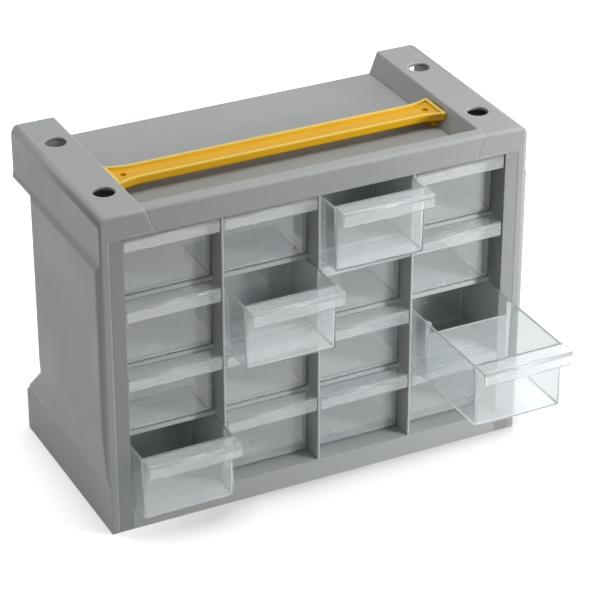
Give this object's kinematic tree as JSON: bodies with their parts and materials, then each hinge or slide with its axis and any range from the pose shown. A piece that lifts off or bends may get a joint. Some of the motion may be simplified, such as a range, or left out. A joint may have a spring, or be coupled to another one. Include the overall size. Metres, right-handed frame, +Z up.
{
  "type": "parts bin cabinet",
  "caption": "Stackable grey plastic cabinet with a grid of clear pull-out drawers with grip ledges, raised side rails and a yellow carrying handle recessed in the top.",
  "frame": {"origin": "on the standing surface, in the middle of the cabinet's width and depth", "axes": "+Z up, -Y out of the drawer fronts, +X to the right seen from the front"},
  "size_m": [0.3148, 0.251, 0.235],
  "materials": {
    "grey_plastic": "fine satin grain, moulded",
    "yellow_plastic": "semi-gloss, moulded",
    "clear_plastic": "clear polished polystyrene"
  },
  "bodies": {
    "cabinet": {"left_cheek": "grey_plastic", "right_cheek": "grey_plastic", "left_side_wall": "grey_plastic", "right_side_wall": "grey_plastic", "top_deck": "grey_plastic", "base": "grey_plastic", "back_panel": "grey_plastic", "shelf_1": "grey_plastic", "shelf_2": "grey_plastic", "shelf_3": "grey_plastic", "partition_1": "grey_plastic", "partition_2": "grey_plastic", "partition_3": "grey_plastic"},
    "drawer_r1c1": {"drawer_r1c1": "clear_plastic"},
    "drawer_r1c2": {"drawer_r1c2": "clear_plastic"},
    "drawer_r1c3": {"drawer_r1c3": "clear_plastic", "divider_r1c3": "clear_plastic"},
    "drawer_r1c4": {"drawer_r1c4": "clear_plastic"},
    "drawer_r2c1": {"drawer_r2c1": "clear_plastic"},
    "drawer_r2c2": {"drawer_r2c2": "clear_plastic", "divider_r2c2": "clear_plastic"},
    "drawer_r2c3": {"drawer_r2c3": "clear_plastic"},
    "drawer_r2c4": {"drawer_r2c4": "clear_plastic"},
    "drawer_r3c1": {"drawer_r3c1": "clear_plastic"},
    "drawer_r3c2": {"drawer_r3c2": "clear_plastic"},
    "drawer_r3c3": {"drawer_r3c3": "clear_plastic"},
    "drawer_r3c4": {"drawer_r3c4": "clear_plastic", "divider_r3c4": "clear_plastic"},
    "drawer_r4c1": {"drawer_r4c1": "clear_plastic", "divider_r4c1": "clear_plastic"},
    "drawer_r4c2": {"drawer_r4c2": "clear_plastic"},
    "drawer_r4c3": {"drawer_r4c3": "clear_plastic"},
    "drawer_r4c4": {"drawer_r4c4": "clear_plastic"},
    "handle": {"carry_handle": "yellow_plastic"}
  },
  "joints": [
    {"name": "slide_r1c1", "type": "slide", "parent": "cabinet", "child": "drawer_r1c1", "axis": [0, -1, 0], "range_m": [0, 0.1274]},
    {"name": "slide_r1c2", "type": "slide", "parent": "cabinet", "child": "drawer_r1c2", "axis": [0, -1, 0], "range_m": [0, 0.1274]},
    {"name": "slide_r1c3", "type": "slide", "parent": "cabinet", "child": "drawer_r1c3", "axis": [0, -1, 0], "range_m": [-0.031, 0.0964]},
    {"name": "slide_r1c4", "type": "slide", "parent": "cabinet", "child": "drawer_r1c4", "axis": [0, -1, 0], "range_m": [0, 0.1274]},
    {"name": "slide_r2c1", "type": "slide", "parent": "cabinet", "child": "drawer_r2c1", "axis": [0, -1, 0], "range_m": [0, 0.1274]},
    {"name": "slide_r2c2", "type": "slide", "parent": "cabinet", "child": "drawer_r2c2", "axis": [0, -1, 0], "range_m": [-0.041, 0.0864]},
    {"name": "slide_r2c3", "type": "slide", "parent": "cabinet", "child": "drawer_r2c3", "axis": [0, -1, 0], "range_m": [0, 0.1274]},
    {"name": "slide_r2c4", "type": "slide", "parent": "cabinet", "child": "drawer_r2c4", "axis": [0, -1, 0], "range_m": [0, 0.1274]},
    {"name": "slide_r3c1", "type": "slide", "parent": "cabinet", "child": "drawer_r3c1", "axis": [0, -1, 0], "range_m": [0, 0.1274]},
    {"name": "slide_r3c2", "type": "slide", "parent": "cabinet", "child": "drawer_r3c2", "axis": [0, -1, 0], "range_m": [0, 0.1274]},
    {"name": "slide_r3c3", "type": "slide", "parent": "cabinet", "child": "drawer_r3c3", "axis": [0, -1, 0], "range_m": [0, 0.1274]},
    {"name": "slide_r3c4", "type": "slide", "parent": "cabinet", "child": "drawer_r3c4", "axis": [0, -1, 0], "range_m": [-0.097, 0.0304]},
    {"name": "slide_r4c1", "type": "slide", "parent": "cabinet", "child": "drawer_r4c1", "axis": [0, -1, 0], "range_m": [-0.03, 0.0974]},
    {"name": "slide_r4c2", "type": "slide", "parent": "cabinet", "child": "drawer_r4c2", "axis": [0, -1, 0], "range_m": [0, 0.1274]},
    {"name": "slide_r4c3", "type": "slide", "parent": "cabinet", "child": "drawer_r4c3", "axis": [0, -1, 0], "range_m": [0, 0.1274]},
    {"name": "slide_r4c4", "type": "slide", "parent": "cabinet", "child": "drawer_r4c4", "axis": [0, -1, 0], "range_m": [0, 0.1274]},
    {"name": "handle_lift", "type": "slide", "parent": "cabinet", "child": "handle", "axis": [0, 0, 1], "range_m": [0, 0.0083]}
  ]
}
